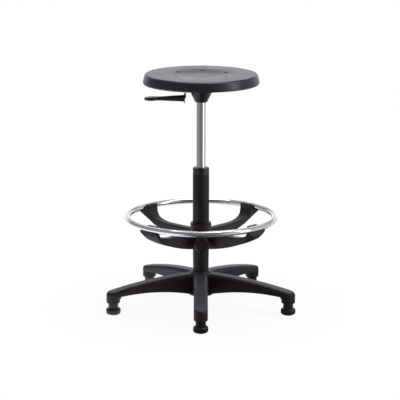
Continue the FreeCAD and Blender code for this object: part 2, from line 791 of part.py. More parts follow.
def make_lever():
    lever = new_body("release_lever")
    outer_bend = "strip_bend + strip_thickness"
    crank = sketch_on(lever, "crank", "XZ_Plane")
    add_loop(crank, [
        Corner("strip_reach", "strip_bottom"),
        Corner("strip_reach", "strip_top"),
        Corner("-crank_offset", "strip_top", round=outer_bend),
        Corner("-crank_offset", "lower_run_top", round="strip_bend"),
        Corner("-strip_end", "lower_run_top"),
        Corner("-strip_end", "lower_run_bottom"),
        Corner("-crank_inside", "lower_run_bottom", round=outer_bend),
        Corner("-crank_inside", "strip_bottom", round="strip_bend"),
    ])
    extrude(lever, crank, "strip_width", both_ways=True)
    eye = sketch_on(lever, "eye", "XZ_Plane")
    add_circle(eye, "-pin_offset", "pin_height", "eye_radius")
    extrude(lever, eye, "strip_width", both_ways=True)
    bore = sketch_on(lever, "bore", "XZ_Plane")
    add_circle(bore, "-pin_offset", "pin_height", "pin_radius + run_gap")
    extrude(lever, bore, "2 * strip_width", cut=True, both_ways=True)

    handle = new_body("lever_handle")
    # Stations from the flange to the tip: place along the grip, and shares of two end sizes.
    grip = ("grip_start", "grip_width", "grip_height", "grip_middle")
    neck = ("neck_offset", "neck_width", "neck_height", "grip_middle - paddle_fall / 2")
    paddle = ("paddle_offset", "paddle_width", "paddle_height", "grip_middle - paddle_fall")
    tip = ("tip_offset", "tip_width", "tip_height", "grip_middle - paddle_fall")
    stations = [grip, neck, between(neck, paddle, "0.3", "0.2"), between(neck, paddle, "0.7", "0.8"), paddle,
                between(paddle, tip, "0.6", "0.3"), tip]
    sections = []
    for number, (offset, width, height, middle) in enumerate(stations):
        section = sketch_on(handle, f"section_{number + 1}", "YZ_Plane", lift=f"-({offset})")
        corner_round = f"handle_round * min({width}; {height})"
        add_loop(section, [
            Corner(f"{x} * ({width}) / 2", f"{middle} + {z} * ({height}) / 2", round=corner_round)
            for x, z in ((-1, -1), (1, -1), (1, 1), (-1, 1))])
        sections.append(section)
    for name, run in (("grip", sections[:2]), ("paddle", sections[1:])):
        loft = handle.newObject("PartDesign::AdditiveLoft", f"lever_handle_{name}")
        loft.Profile = run[0]
        loft.Sections = run[1:]
    flange = sketch_on(handle, "flange", "YZ_Plane", lift="-grip_start")
    add_circle(flange, "0", "grip_middle", "flange_radius")
    extrude(handle, flange, "flange_thickness")
    strip_hole = sketch_on(handle, "strip_hole", "YZ_Plane", lift="-(strip_end + press_gap)")
    half_hole = "(strip_width / 2 + press_gap)"
    box_loop(strip_hole, f"-{half_hole}", half_hole,
             "lower_run_bottom - press_gap", "lower_run_top + press_gap")
    extrude(handle, strip_hole, "strip_end", cut=True, reverse=True)
    bend_room = sketch_on(handle, "bend_room", "YZ_Plane", lift="-(crank_offset + strip_bend + press_gap)")
    box_loop(bend_room, f"-{half_hole}", half_hole,
             "lower_run_top", "lower_run_top + strip_bend + press_gap")
    extrude(handle, bend_room, "2 * strip_bend", cut=True, reverse=True)


def fixing_group(label):
    """A body for a group of like fixings, each its own solid."""
    body = new_body(label)
    body.AllowCompound = True
    return body


def make_seat_plate():
    plate = new_body("seat_plate")
    half, inner = "(plate_side / 2)", "(plate_side / 2 - plate_thickness)"
    square = ((-1, -1), (1, -1), (1, 1), (-1, 1))
    sheet_outline = sketch_on(plate, "outline", "XY_Plane", lift="plate_bottom - plate_lip")
    add_loop(sheet_outline, [Corner(f"{x} * {half}", f"{y} * {half}", round="plate_corner")
                             for x, y in square])
    extrude(plate, sheet_outline, "plate_thickness + plate_lip")
    tray = sketch_on(plate, "tray", "XY_Plane", lift="plate_bottom")
    add_loop(tray, [Corner(f"{x} * {inner}", f"{y} * {inner}", round="plate_corner - plate_thickness")
                    for x, y in square])
    extrude(plate, tray, "plate_lip", cut=True)
    hole_sketch = sketch_on(plate, "bolt_hole", "XY_Plane", lift="board_bottom")
    add_circle(hole_sketch, "bolt_place", "bolt_place", "bolt_radius + free_gap")
    hole = extrude(plate, hole_sketch, "2 * plate_thickness", cut=True)
    repeat_round(plate, "bolt_count", [hole])


def make_seat_fixings():
    bolts = fixing_group("seat_bolts")
    hexagon = sketch_on(bolts, "head", "XY_Plane", lift="head_top - head_height")
    add_loop(hexagon, [Corner(f"bolt_place + head_corner * cos({60 * side})",
                              f"bolt_place + head_corner * sin({60 * side})") for side in range(6)])
    shank = sketch_on(bolts, "shank", "XY_Plane", lift="head_top - head_height / 2")
    add_circle(shank, "bolt_place", "bolt_place", "bolt_radius")
    head = extrude(bolts, hexagon, "head_height")
    rod = extrude(bolts, shank, "head_height / 2 + washer_thickness + plate_thickness + bolt_grip")
    repeat_round(bolts, "bolt_count", [head, rod])

    washers = fixing_group("seat_washers")
    ring = sketch_on(washers, "ring", "XY_Plane", lift="head_top")
    for radius in ("washer_radius", "bolt_radius + free_gap"):
        add_circle(ring, "bolt_place", "bolt_place", radius)
    repeat_round(washers, "bolt_count", [extrude(washers, ring, "washer_thickness")])

    nuts = fixing_group("tee_nuts")
    flange_bottom = "board_top - tee_flange_thickness"
    layers = (("flange", "tee_flange_radius", flange_bottom, "tee_flange_thickness"),
              ("barrel", "tee_barrel_radius", f"{flange_bottom} - tee_barrel_length",
               "tee_barrel_length"))
    rings = []
    for name, radius, bottom, length in layers:
        layer = sketch_on(nuts, name, "XY_Plane", lift=bottom)
        for circle in (radius, "bolt_radius + press_gap"):
            add_circle(layer, "bolt_place", "bolt_place", circle)
        rings.append(extrude(nuts, layer, length))
    repeat_round(nuts, "bolt_count", rings)


def make_seat():
    board = sleeve("seat_board", "0", "board_radius", "board_bottom", "board_top")
    holes = []
    for name, radius, depth in (("barrel", "tee_barrel_radius", "2 * board_thickness"),
                                ("flange", "tee_flange_radius", "tee_flange_thickness")):
        circle = sketch_on(board, name, "XY_Plane", lift="board_top")
        add_circle(circle, "bolt_place", "bolt_place", f"{radius} + press_gap")
        holes.append(extrude(board, circle, depth, cut=True))
    repeat_round(board, "bolt_count", holes)

    pad = turned("seat_pad", [
        Corner("0", "board_top + free_gap"),
        Corner("board_radius + free_gap", "board_top + free_gap"),
        Corner("board_radius + free_gap", "rim_bottom"),
        Corner("seat_radius", "rim_bottom", round="rim_bottom_round"),
        Corner("seat_radius - rim_lean", "seat_height", round="rim_top_round"),
        Corner("dish_radius", "seat_height", round="dish_round"),
        Corner("dish_radius - dish_slope", "seat_height - dish_depth", round="dish_round"),
        Corner("0", "seat_height - dish_depth"),
    ])
    vent = sketch_on(pad, "vent", "XY_Plane", turn="vent_turn", lift="seat_height")
    add_circle(vent, "vent_circle_radius", "0", "vent_radius")
    hole = extrude(pad, vent, "rim_height", cut=True)
    repeat_round(pad, "vent_count", [hole])


# Foot ring, its spider and the clamp

def on_ring(body, rotation=Rotation(), drop="0"):
    """Put a piece of the foot ring at the ring's height, turned with it."""
    turn = Rotation(Vector(0, 0, 1), value("ring_turn"))
    place(body, z=f"ring_height - {drop}", rotation=turn.multiply(rotation))


def make_foot_ring():
    ring = new_body("foot_ring")
    section = sketch_on(ring, "section", "XZ_Plane")
    for radius in ("ring_tube_radius", "ring_tube_radius - ring_tube_wall"):
        add_circle(section, "ring_radius", "0", radius)
    revolve(ring, section)
    screw_hole = sketch_on(ring, "screw_hole", "XY_Plane", turn="arm_start_angle")
    add_circle(screw_hole, "screw_circle_radius", "0", "screw_radius + press_gap")
    hole = extrude(ring, screw_hole, "2 * ring_tube_radius", cut=True)
    repeat_round(ring, "arm_count", [hole])
    on_ring(ring)

    screws = fixing_group("ring_screws")
    features = []
    shank_length = "screw_seat_drop - ring_tube_radius + screw_bite"
    for name, radius, bottom, length in (
            ("head", "screw_head_radius", "-screw_head_bottom", "screw_head_height"),
            ("shank", "screw_radius", "-screw_seat_drop", shank_length)):
        layer = sketch_on(screws, name, "XY_Plane", turn="arm_start_angle", lift=bottom)
        add_circle(layer, "screw_circle_radius", "0", radius)
        features.append(extrude(screws, layer, length))
    repeat_round(screws, "arm_count", features)
    on_ring(screws)


def slope_off(spider, kind, hand):
    """Slope off one side of an arm's flared end, along a plane through three points of that kind."""
    start, end, low = (Vector(value(f"ring_radius - {kind}_{point}_inset"),
                              hand * value(f"{kind}_{point}_side"), -value(f"{kind}_{point}_drop"))
                       for point in ("start", "end", "low"))
    outward = (end - start).cross(low - start) * hand
    sketch = sketch_on(spider, f"{kind}_{'right' if hand > 0 else 'left'}", "XY_Plane")
    turn = Rotation(Vector(0, 0, 1), value("arm_start_angle"))
    middle = (start + end + low) * (1 / 3)
    sketch.clearExpression("AttachmentOffset.Base.z")
    tilt = Rotation(Vector(0, 0, 1), outward)
    sketch.AttachmentOffset = Placement(turn.multVec(middle), turn.multiply(tilt))
    add_circle(sketch, "0", "0", "hub_drop")
    extrude(spider, sketch, "hub_drop", cut=True, reverse=True)


def make_spider():
    spider = new_body("ring_spider")
    arm_start = "(hub_radius - liner_wall)"
    seat_edge = "ring_radius - saddle_overlap"
    side = sketch_on(spider, "arm_side", "XZ_Plane", turn="arm_start_angle")
    add_loop(side, [
        Corner(arm_start, "-hub_drop", bend="keel_curve"),
        Corner("keel_end_offset", "-keel_end_drop"),
        Corner("arm_end_radius", "-arm_end_drop"),
        Corner("arm_end_radius", "-saddle_cut"),
        Corner(seat_edge, "-saddle_cut"),
        Corner(seat_edge, "lip_rise", round="lip_round"),
        Corner("lip_offset", "lip_rise"),
        Corner("lip_offset", "-lip_drop", bend="-rise_curve"),
        Corner("rise_offset", "-rise_drop", bend="-bowl_curve"),
        Corner("bowl_offset", "-bowl_drop"),
        Corner(arm_start, "-bowl_drop"),
    ])
    extrude(spider, side, "2 * flare_half_width + 2", both_ways=True)
    trim = sketch_on(spider, "arm_plan", "XY_Plane", turn="arm_start_angle")
    margin = "(flare_half_width + 10)"
    box_loop(trim, f"{arm_start} - 2", "arm_end_radius + 20", f"-{margin}", margin)
    add_loop(trim, [
        Corner(f"{arm_start} - 1", "-arm_half_width"),
        Corner("flare_offset", "-arm_half_width", bend="-flare_curve"),
        Corner("flare_end", "-flare_half_width", bend="arm_end_radius"),
        Corner("flare_end", "flare_half_width", bend="-flare_curve"),
        Corner("flare_offset", "arm_half_width"),
        Corner(f"{arm_start} - 1", "arm_half_width"),
    ])
    trimmed = extrude(spider, trim, "4 * hub_drop", cut=True, both_ways=True)
    turn = Rotation(Vector(0, 0, 1), -value("arm_start_angle"))

    def on_top_edge(edge):
        ends = [turn.multVec(vertex.Point) for vertex in edge.Vertexes]
        middle = turn.multVec(edge.CenterOfMass)
        sideways = min(abs(end.y) for end in ends) > value("arm_half_width") - 0.1
        inside = max(end.x for end in ends) < value("lip_offset") + 0.1
        above = all(end.z > value("-bowl_drop") - 0.1 for end in ends)
        return sideways and inside and above and abs(middle.y) > value("arm_half_width") - 0.1

    soften(spider, trimmed, "arm_edge_round", on_top_edge)
    cells = sketch_on(spider, "cells", "XZ_Plane", turn="arm_start_angle")
    pitch = "((cell_end - cell_start + arm_rib) / cell_count)"
    for number in range(SIZES["cell_count"]):
        near = f"(cell_start + {number} * {pitch})"
        far = f"({near} + {pitch} - arm_rib)"
        add_loop(cells, [
            Corner(near, "-2 * hub_drop"),
            Corner(far, "-2 * hub_drop"),
            Corner(far, arm_ceiling(far)),
            Corner(near, arm_ceiling(near)),
        ])
    extrude(spider, cells, "2 * (arm_half_width - arm_wall)", cut=True, both_ways=True)
    for name, radius, reach, upward in (
            ("screw_head", "screw_head_radius + free_gap", "hub_drop", False),
            ("screw_shank", "screw_radius + press_gap", "screw_seat_drop", True)):
        hole = sketch_on(spider, name, "XY_Plane", turn="arm_start_angle", lift="-screw_seat_drop")
        add_circle(hole, "screw_circle_radius", "0", radius)
        extrude(spider, hole, reach, cut=True, reverse=upward)
    for kind in ("corner", "wall"):
        for hand in (-1, 1):
            slope_off(spider, kind, hand)
    repeat_round(spider, "arm_count")
    hub = sketch_on(spider, "hub", "XZ_Plane")
    add_loop(hub, [
        Corner("hub_bore", "-hub_drop"),
        Corner("hub_radius", "-hub_drop"),
        Corner("hub_radius", "-hub_top_drop", round="min(hub_top_round; hub_radius - hub_bore - 0.3)"),
        Corner("hub_bore", "-hub_top_drop"),
    ])
    revolve(spider, hub)
    boss = sketch_on(spider, "boss", "XZ_Plane", lift=arm_start)
    add_circle(boss, "0", "-clamp_drop", "boss_radius")
    extrude(spider, boss, f"boss_reach - {arm_start}")
    for name, radius, face, depth in (
            ("nut_seat", "nut_radius + press_gap", "boss_reach", "boss_reach - nut_inner_face"),
            ("shoe_guide", "shoe_radius + free_gap", "nut_inner_face", "nut_inner_face - tube_radius")):
        hole = sketch_on(spider, name, "XZ_Plane", lift=face)
        add_circle(hole, "0", "-clamp_drop", radius)
        extrude(spider, hole, depth, cut=True)
    ring_seat = sketch_on(spider, "ring_seat", "XZ_Plane")
    add_circle(ring_seat, "ring_radius", "0", "ring_seat_radius")
    revolve(spider, ring_seat, cut=True)
    on_ring(spider)


def arm_ceiling(radius):
    """Underside of the skin that closes the top of a spider arm, at a distance from the axis."""
    return f"max(0; {radius} - bowl_offset) ^ 2 / (2 * bowl_curve) - bowl_drop - arm_skin"


def make_hub_liner():
    lip_bottom = "-hub_top_drop + free_gap"
    liner = turned("hub_liner", [
        Corner("tube_radius + run_gap", "-hub_drop"),
        Corner("liner_radius", "-hub_drop"),
        Corner("liner_radius", lip_bottom),
        Corner("liner_radius + liner_lip", lip_bottom),
        Corner("liner_radius + liner_lip", f"{lip_bottom} + liner_lip_height"),
        Corner("tube_radius + run_gap", f"{lip_bottom} + liner_lip_height"),
    ])
    slit = sketch_on(liner, "slit", "XZ_Plane")
    box_loop(slit, "-liner_slit / 2", "liner_slit / 2", "-2 * hub_drop", "hub_drop")
    extrude(liner, slit, "2 * hub_radius", cut=True)
    on_ring(liner)


def make_clamp():
    outward = Rotation(Vector(1, 0, 0), 90)
    nut = sleeve("clamp_nut", "stud_radius + run_gap", "nut_radius", "nut_inner_face", "boss_reach")
    shoe = sleeve("clamp_pad", "0", "shoe_radius", "shoe_face", "shoe_back")
    stud = sleeve("clamp_stud", "0", "stud_radius", "shoe_back", "knob_back + stud_depth")
    stud_bore = "stud_radius + press_gap"
    neck_end, front = "knob_back + knob_neck_length", "knob_back + knob_length"
    knob = turned("clamp_knob", [
        Corner(stud_bore, "knob_back"),
        Corner("knob_neck_radius", "knob_back"),
        Corner("knob_neck_radius", neck_end),
        Corner("knob_radius", neck_end, round="knob_round / 2"),
        Corner("knob_radius", front, round="knob_round"),
        Corner("0", front),
        Corner("0", "knob_back + stud_depth"),
        Corner(stud_bore, "knob_back + stud_depth"),
    ])
    flute_sketch = sketch_on(knob, "flute", "XY_Plane", lift=front)
    flute_offset = "knob_radius + knob_flute_radius - knob_flute_depth"
    add_circle(flute_sketch, flute_offset, "0", "knob_flute_radius")
    flute = extrude(knob, flute_sketch, "knob_length - knob_neck_length", cut=True)
    repeat_round(knob, "knob_flute_count", [flute])
    for piece in (nut, shoe, stud, knob):
        on_ring(piece, outward, "clamp_drop")


# The whole stool

make_star_base()
make_glides()
make_column()
make_bearing_balls()
make_spindle()
make_pressure_tube()
make_support_cone()
make_lever()
make_seat_plate()
make_seat_fixings()
make_seat()
make_foot_ring()
make_spider()
make_hub_liner()
make_clamp()
doc.recompute()

faults = [f"{item.Label} is {item.State}" for item in doc.Objects
          if {"Invalid", "Error"} & set(item.State)]
faults += [f"{part.Label} has no sound shape" for part in parts
           if part.Shape.isNull() or not part.Shape.isValid() or not part.Shape.Solids]
if faults:
    raise RuntimeError("; ".join(faults))

os.makedirs("parts", exist_ok=True)
for part in parts:
    part.Shape.exportStep(f"parts/{part.Label}.step")
    print(part.Label, len(part.Shape.Solids), "solid(s)", round(part.Shape.Volume), "mm3")
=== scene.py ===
import math

import bmesh
import bpy
from mathutils import Matrix, Quaternion, Vector, noise


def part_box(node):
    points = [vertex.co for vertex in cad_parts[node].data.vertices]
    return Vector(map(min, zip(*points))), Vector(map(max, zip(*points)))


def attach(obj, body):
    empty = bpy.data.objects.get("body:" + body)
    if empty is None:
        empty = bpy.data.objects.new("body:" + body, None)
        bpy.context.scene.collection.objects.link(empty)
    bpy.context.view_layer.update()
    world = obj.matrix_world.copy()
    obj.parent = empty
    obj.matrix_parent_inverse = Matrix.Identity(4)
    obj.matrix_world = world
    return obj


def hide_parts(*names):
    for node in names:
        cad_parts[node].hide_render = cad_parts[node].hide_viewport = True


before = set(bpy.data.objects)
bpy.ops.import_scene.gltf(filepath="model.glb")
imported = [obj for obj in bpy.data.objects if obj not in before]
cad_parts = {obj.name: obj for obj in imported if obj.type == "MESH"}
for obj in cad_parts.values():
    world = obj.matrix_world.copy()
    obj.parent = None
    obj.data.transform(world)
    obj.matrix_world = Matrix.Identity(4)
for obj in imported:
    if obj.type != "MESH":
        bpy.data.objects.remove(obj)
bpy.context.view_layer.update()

MM = 0.001

bl_info = {
    "name": "High swivel stool",
    "version": (1, 0, 0),
    "blender": (4, 5, 0),
    "location": "View3D > Sidebar > Stool",
    "description": "Seat pad, finishes and studio for a high swivel stool with a foot ring",
    "category": "Object",
}

PAD_LOW, PAD_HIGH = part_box("seat_pad")
BOARD_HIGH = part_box("seat_board")[1]
RING_LOW, RING_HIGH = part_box("foot_ring")


def linear(hex_colour):
    """An sRGB hex colour as linear red, green and blue."""
    parts = [int(hex_colour[i:i + 2], 16) / 255 for i in (1, 3, 5)]
    return tuple(c / 12.92 if c <= 0.04045 else ((c + 0.055) / 1.055) ** 2.4 for c in parts)


def length(name, description, millimetres):
    """A length property whose default is given in millimetres."""
    return bpy.props.FloatProperty(name=name, description=description, default=millimetres * MM,
                                   min=0.0, unit="LENGTH", precision=4)


def angle(name, description, degrees):
    """An angle property whose default is given in degrees."""
    return bpy.props.FloatProperty(name=name, description=description, default=math.radians(degrees),
                                   subtype="ANGLE")


def colour(name, description, hex_colour):
    """A colour property whose default is an sRGB hex colour."""
    return bpy.props.FloatVectorProperty(name=name, description=description, subtype="COLOR",
                                         size=3, min=0.0, max=1.0, default=linear(hex_colour))


# Settings

class StoolSeatSettings(bpy.types.PropertyGroup):
    rim_lean: length("Rim lean", "How far the rim leans in from its lower edge to its upper edge", 7)
    rim_top_round: length("Top round", "Radius where the top turns down into the rim", 7)
    rim_bottom_round: length("Bottom round", "Radius of the rim's lower edge", 5)
    dish_radius: length("Dish radius", "Radius where the shallow dish in the top runs out", 114)
    dish_floor: length("Dish floor", "Radius of the flat floor of the dish", 32)
    dish_depth: length("Dish depth", "Depth of the dish in the middle", 6)
    vent_circle: length("Hole circle", "Radius of the circle of holes", 84.5)
    vent_radius: length("Hole radius", "Radius of each hole", 5.5)
    vent_turn: angle("Hole turn", "Turn of the circle of holes from its even place", -3)
    seam_height: length("Parting line", "Height of the mould's parting line above the rim's lower edge", 7)
    seam_proud: length("Parting line proud", "How far the parting line stands out", 0.35)
    unevenness: length("Unevenness", "Height of the soft waves in the foam's skin", 0.25)


class StoolFinishSettings(bpy.types.PropertyGroup):
    pad: colour("Seat skin", "Integral-skin polyurethane of the seat", "#1f1b22")
    nylon: colour("Base nylon", "Glass-filled nylon of the base", "#1d1214")
    # Colour of a painted sheen laid on the base's faces that look up
    painted_sheen: colour("Painted sheen", "Thin film of dust on the base where it faces up", "#45454d")
    spider: colour("Spider nylon", "Glass-filled nylon of the foot-ring spider", "#1d1214")
    plastic: colour("Satin plastic", "Plastic of the glides, the cone, the bushes and the knob", "#1a1012")
    handle: colour("Handle plastic", "Polyamide of the lever handle", "#1f1c20")
    powder: colour("Powder coat", "Black polyester powder coat on steel", "#180c0e")
    rubber: colour("Rubber", "Matt black rubber", "#1a1a1a")
    chrome: colour("Chrome", "Polished chrome plate", "#dcdcda")
    zinc: colour("Zinc plate", "Zinc plate on screws, pins and stems", "#c2c6ca")
    steel: colour("Ground steel", "Ground steel inside the gas lift", "#b9bbbe")
    brass: colour("Brass", "Turned brass of the clamp's nut", "#c8a25a")
    birch: colour("Birch", "Birch plywood of the seat's board", "#c9ad83")


class StoolStageSettings(bpy.types.PropertyGroup):
    camera_distance: length("Camera distance", "From the camera to the point it looks at", 5637.5)
    camera_aim: bpy.props.FloatVectorProperty(
        name="Camera aim", description="Point that the camera looks at", subtype="XYZ", unit="LENGTH",
        default=(-2.9 * MM, 0.0, 337 * MM))
    camera_elevation: angle("Camera elevation", "Camera's height angle above the horizon", 12.68)
    camera_roll: angle("Camera roll", "Turn of the camera about its own axis", 0.12)
    lens: bpy.props.FloatProperty(name="Lens", description="Focal length on a 36 mm wide frame",
                                  default=166.3, unit="CAMERA")
    floor: colour("Floor", "Plain pale floor", "#f4f4f4")


# Finishes

# How strong each finer layer of a noise is, against the layer before it
FINER = 0.6


def put(tree, kind, inputs=None, **settings):
    """Add a node with its settings, set or link each of its inputs, and give its outputs."""
    node = tree.nodes.new("ShaderNode" + kind)
    for name, setting in settings.items():
        setattr(node, name, setting)
    for name, source in (inputs or {}).items():
        if isinstance(source, bpy.types.NodeSocket):
            tree.links.new(source, node.inputs[name])
        else:
            node.inputs[name].default_value = source
    return node.outputs


def per_metre(size_mm):
    """Pattern scale that gives features of this size, for coordinates in metres."""
    return 1.0 / (size_mm * MM)


def new_finish(name, base, roughness, metallic=0.0, **sockets):
    """A material with its plain shader set, its node tree and the place on the object in metres."""
    material = bpy.data.materials.new(name)
    material.use_nodes = True
    tree = material.node_tree
    shader = tree.nodes["Principled BSDF"]
    shader.inputs["Base Color"].default_value = (*base, 1.0)
    shader.inputs["Roughness"].default_value = roughness
    shader.inputs["Metallic"].default_value = metallic
    for socket, constant in sockets.items():
        shader.inputs[socket.replace("_", " ")].default_value = constant
    place = put(tree, "TexCoord")["Object"]
    return material, tree, shader, place


def mottle(tree, shader, pattern, base, shift, smoothest, roughest):
    """Vary colour and roughness a little with a pattern from 0 to 1."""
    dark = (*(c * (1 - shift) for c in base), 1.0)
    light = (*(c * (1 + shift) for c in base), 1.0)
    tint = put(tree, "Mix", {"Factor": pattern, "A": dark, "B": light}, data_type="RGBA")["Result"]
    rough = put(tree, "MapRange", {"Value": pattern, "To Min": smoothest, "To Max": roughest})["Result"]
    tree.links.new(tint, shader.inputs["Base Color"])
    tree.links.new(rough, shader.inputs["Roughness"])


def soft_edges(tree, radius_mm):
    """The normal over edges rounded to a radius, and how near an edge is, from 0 to 1."""
    rounded_off = put(tree, "Bevel", {"Radius": radius_mm * MM}, samples=4)["Normal"]
    flat = put(tree, "NewGeometry")["Normal"]
    along = put(tree, "VectorMath", {0: rounded_off, 1: flat}, operation="DOT_PRODUCT")["Value"]
    near_edge = put(tree, "MapRange", {"Value": along, "From Min": 0.99, "From Max": 0.85})["Result"]
    return rounded_off, near_edge


def polish_edges(tree, shader, near_edge, rough, lift):
    """Make edges smoother and paler, as handling and the mould's polished corners leave them."""
    roughness = shader.inputs["Roughness"]
    grainy = roughness.links[0].from_socket
    tree.links.new(put(tree, "Mix", {"Factor": near_edge, "A": grainy, "B": rough})["Result"], roughness)
    tint = shader.inputs["Base Color"]
    plain = tint.links[0].from_socket
    pale = put(tree, "VectorMath", {0: plain, "Scale": lift}, operation="SCALE")["Vector"]
    worn = put(tree, "Mix", {"Factor": near_edge, "A": plain, "B": pale}, data_type="RGBA")["Result"]
    tree.links.new(worn, tint)


def paint_upward_sheen(tree, shader, painted_sheen):
    """Paint a paler, bluish sheen on the faces that look up, strongest where they are level."""
    facing = put(tree, "NewGeometry")["Normal"]
    upward = put(tree, "SeparateXYZ", {"Vector": facing})["Z"]
    film = put(tree, "MapRange", {"Value": upward, "From Min": 0.75, "From Max": 1.0})["Result"]
    tint = shader.inputs["Base Color"]
    clean = tint.links[0].from_socket
    sheened = put(tree, "Mix", {"Factor": film, "A": clean, "B": (*painted_sheen, 1.0)}, data_type="RGBA")["Result"]
    tree.links.new(sheened, tint)


def moulded(name, base, rough, grain_mm, grain_depth_mm, ior, shift, gloss=0.5, painted_sheen=None):
    """Black plastic from an eroded mould: fine pits, slow marks of the melt's flow and polished edges."""
    flow_mm = 45
    material, tree, shader, place = new_finish(name, base, rough, IOR=ior, Specular_IOR_Level=gloss)
    grain = put(tree, "TexNoise", {"Vector": place, "Scale": per_metre(grain_mm), "Detail": 3.0,
                                   "Roughness": FINER})["Fac"]
    flow = put(tree, "TexNoise", {"Vector": place, "Scale": per_metre(flow_mm), "Roughness": FINER})["Fac"]
    clouds = put(tree, "Mix", {"Factor": 0.35, "A": flow, "B": grain})["Result"]
    mottle(tree, shader, clouds, base, shift, smoothest=rough - 0.06, roughest=rough + 0.08)
    smooth, near_edge = soft_edges(tree, radius_mm=1.2)
    polish_edges(tree, shader, near_edge, rough=rough - 0.1, lift=1.6)
    # A painted sheen on the faces that look up, where a colour for it is given
    if painted_sheen is not None:
        paint_upward_sheen(tree, shader, painted_sheen)
    pits = put(tree, "Bump", {"Height": grain, "Strength": 0.6, "Distance": grain_depth_mm * MM,
                              "Normal": smooth})["Normal"]
    tree.links.new(pits, shader.inputs["Normal"])
    return material


def glass_filled_nylon(name, base, gloss, painted_sheen=None):
    # Nylon with glass fibre from a spark-eroded mould: dull black, with a soft broad sheen and a sandy grain.
    # The real grain is about 0.3 mm and is drawn at 1.6 mm so that it shows.
    return moulded(name, base, 0.44, grain_mm=1.6, grain_depth_mm=0.16, ior=1.53, shift=0.2, gloss=gloss,
                   painted_sheen=painted_sheen)


def satin_plastic(name, base, gloss=0.5):
    # Polypropylene or acetal from a vapour-blasted mould: even satin black, slightly waxy, next to no grain.
    # The real grain is about 0.15 mm and is drawn at 1 mm.
    return moulded(name, base, 0.3, grain_mm=1.0, grain_depth_mm=0.03, ior=1.49, shift=0.10, gloss=gloss)


def polished_polyamide(name, base):
    # Polyamide from a smooth mould: deep black, with a paler sheen where it lies flat to the light.
    # What grain there is in the real mould is too fine to see, and a trace of it is drawn at 1.2 mm.
    return moulded(name, base, 0.26, grain_mm=1.2, grain_depth_mm=0.02, ior=1.53, shift=0.08)


def moulded_rubber(name, base):
    # Moulded rubber: matt, a little grey from bloom, with no clear reflection.
    # The real grain is under 0.5 mm and is drawn at 1.4 mm.
    return moulded(name, base, 0.72, grain_mm=1.4, grain_depth_mm=0.06, ior=1.52, shift=0.22, gloss=0.3)


def powder_coat(name, base):
    # Polyester powder on steel: the melt sets with orange peel, so highlights break into soft ripples.
    # Orange peel is 1 to 3 mm across; the powder draws thin over edges, which shine a little.
    material, tree, shader, place = new_finish(name, base, 0.5, IOR=1.5, Specular_IOR_Level=0.33)
    clouds = put(tree, "TexNoise", {"Vector": place, "Scale": per_metre(30), "Roughness": FINER})["Fac"]
    mottle(tree, shader, clouds, base, shift=0.10, smoothest=0.46, roughest=0.58)
    smooth, near_edge = soft_edges(tree, radius_mm=0.8)
    polish_edges(tree, shader, near_edge, rough=0.3, lift=1.5)
    peel = put(tree, "TexNoise", {"Vector": place, "Scale": per_metre(2.4), "Detail": 1.0,
                                  "Roughness": FINER})["Fac"]
    ripples = put(tree, "Bump", {"Height": peel, "Strength": 0.35, "Distance": 0.06 * MM,
                                 "Normal": smooth})["Normal"]
    tree.links.new(ripples, shader.inputs["Normal"])
    return material


def polished_chrome(name, base):
    # Bright chrome over polished nickel: a mirror, hazy here and there from the polishing mop and from hands,
    # and never quite true, so reflections along a tube waver. Hair scratches are drawn at 0.8 mm.
    material, tree, shader, place = new_finish(name, base, 0.07, metallic=1.0)
    haze = put(tree, "TexNoise", {"Vector": place, "Scale": per_metre(18), "Detail": 4.0,
                                  "Roughness": FINER})["Fac"]
    drawn_out = put(tree, "Mapping", {"Vector": place, "Scale": (0.05, 1.0, 1.0)})["Vector"]
    streaks = put(tree, "TexNoise", {"Vector": drawn_out, "Scale": per_metre(0.8), "Detail": 1.0,
                                     "Roughness": FINER})["Fac"]
    hairs = put(tree, "MapRange", {"Value": streaks, "From Min": 0.66, "From Max": 0.72,
                                   "To Max": 0.3})["Result"]
    handled = put(tree, "Mix", {"Factor": hairs, "A": haze, "B": 1.0})["Result"]
    mottle(tree, shader, handled, base, shift=0.03, smoothest=0.05, roughest=0.11)
    slow = put(tree, "TexNoise", {"Vector": place, "Scale": per_metre(60), "Roughness": FINER})["Fac"]
    waver = put(tree, "Bump", {"Height": slow, "Strength": 0.08, "Distance": 0.05 * MM})["Normal"]
    tree.links.new(waver, shader.inputs["Normal"])
    return material


def zinc_plate(name, base):
    # Zinc plate with clear passivation: pale bluish steel, clouded in patches a few millimetres wide.
    material, tree, shader, place = new_finish(name, base, 0.32, metallic=1.0)
    clouds = put(tree, "TexNoise", {"Vector": place, "Scale": per_metre(5), "Detail": 5.0,
                                    "Roughness": FINER})["Fac"]
    mottle(tree, shader, clouds, base, shift=0.14, smoothest=0.24, roughest=0.44)
    return material


def ground_steel(name, base):
    # Hardened steel, ground round: a clean grey with hair-fine rings about the axis.
    # Grinding lines are under 0.05 mm apart and are drawn at 0.6 mm.
    material, tree, shader, place = new_finish(name, base, 0.22, metallic=1.0)
    drawn_out = put(tree, "Mapping", {"Vector": place, "Scale": (0.02, 0.02, 1.0)})["Vector"]
    rings = put(tree, "TexNoise", {"Vector": drawn_out, "Scale": per_metre(0.6), "Roughness": FINER})["Fac"]
    mottle(tree, shader, rings, base, shift=0.08, smoothest=0.16, roughest=0.34)
    return material


def turned_brass(name, base):
    # Free-cutting brass, turned: yellow metal with a slight tarnish in patches a few millimetres wide.
    material, tree, shader, place = new_finish(name, base, 0.28, metallic=1.0)
    tarnish = put(tree, "TexNoise", {"Vector": place, "Scale": per_metre(3), "Detail": 4.0,
                                     "Roughness": FINER})["Fac"]
    mottle(tree, shader, tarnish, base, shift=0.16, smoothest=0.2, roughest=0.4)
    return material


